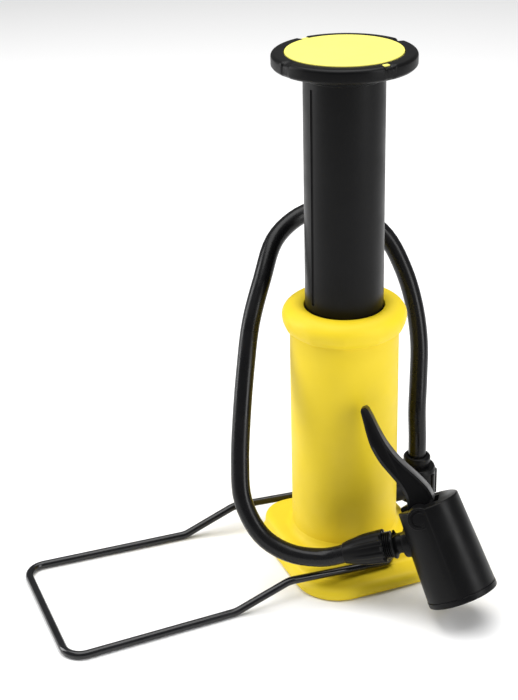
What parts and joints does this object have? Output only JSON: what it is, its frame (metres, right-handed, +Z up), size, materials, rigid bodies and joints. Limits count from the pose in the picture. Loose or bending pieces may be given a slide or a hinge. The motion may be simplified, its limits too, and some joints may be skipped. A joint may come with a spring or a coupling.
{
  "type": "floor bike pump",
  "caption": "Compact floor pump with a palm disc on a sleeve plunger, barrel on a broad base, fold-up wire foot loop, and a hose to a lever chuck.",
  "frame": {"origin": "on the floor, under the barrel's axis, at the middle of the base", "axes": "+Z up along the barrel, +X towards the outlet and hose, -X towards the foot loop, -Y towards the chuck"},
  "size_m": [0.2154, 0.1515, 0.262],
  "materials": {
    "yellow_plastic": "satin moulded",
    "yellow_pad": "satin moulded",
    "black_plastic": "satin moulded",
    "black_wire": "gloss coated",
    "hose_rubber": "semi-gloss extruded",
    "white_plastic": "satin moulded",
    "steel": "zinc plated",
    "brass": "machined",
    "seal_rubber": "matte"
  },
  "bodies": {
    "stand": {"base_shell": "yellow_plastic", "base_plate": "black_plastic", "foot_pads": "seal_rubber", "plate_screws": "steel", "base_bolt": "steel", "barrel": "yellow_plastic", "cylinder_plug": "white_plastic", "plug_seal": "seal_rubber", "collar": "yellow_plastic", "guide_bush": "white_plastic", "wiper_ring": "seal_rubber", "stop_ring": "seal_rubber", "outlet_body": "black_plastic", "outlet_ferrule": "black_plastic", "outlet_seal": "seal_rubber", "valve_seat": "brass", "valve_spring": "steel", "hose": "hose_rubber", "cone_nut": "black_plastic", "hose_barb": "black_plastic", "chuck_body": "black_plastic", "chuck_cap": "black_plastic", "chuck_grommet": "seal_rubber", "lever_pin": "steel"},
    "plunger": {"plunger_sleeve": "black_plastic", "handle_disc": "black_plastic", "handle_pad": "yellow_pad", "handle_plug": "white_plastic", "handle_screw": "steel", "piston": "white_plastic", "cup_seal": "seal_rubber", "piston_washer": "steel", "piston_screw": "steel"},
    "foot_wire": {"foot_loop": "black_wire"},
    "lever": {"chuck_lever": "black_plastic"},
    "presser": {"chuck_presser": "white_plastic"},
    "poppet": {"valve_poppet": "seal_rubber"}
  },
  "joints": [
    {"name": "plunger_slide", "type": "slide", "parent": "stand", "child": "plunger", "axis": [0, 0, 1], "range_m": [-0.08, 0]},
    {"name": "foot_loop_fold", "type": "hinge", "parent": "stand", "child": "foot_wire", "pos_m": [0.008, 0, 0.0095], "axis": [0, 1, 0], "range_deg": [0, 75], "deforming": ["hose"]},
    {"name": "lever_swing", "type": "hinge", "parent": "stand", "child": "lever", "pos_m": [0.01141, -0.0624, 0.05101], "axis": [0.486, 0.8095, -0.3293], "range_deg": [-70, 0]},
    {"name": "presser_slide", "type": "slide", "parent": "stand", "child": "presser", "axis": [-0.1856, 0.4639, 0.8662], "range_m": [0, 0.0012]},
    {"name": "check_valve", "type": "slide", "parent": "stand", "child": "poppet", "axis": [0, 0, 1], "range_m": [0, 0.0015], "stiffness_N_per_m": 150, "springref_m": -0.0005, "deforming": ["valve_spring"]}
  ],
  "couplings": [
    {"joint": "presser_slide", "follows": "lever_swing", "m_per_rad": -0.000982}
  ]
}
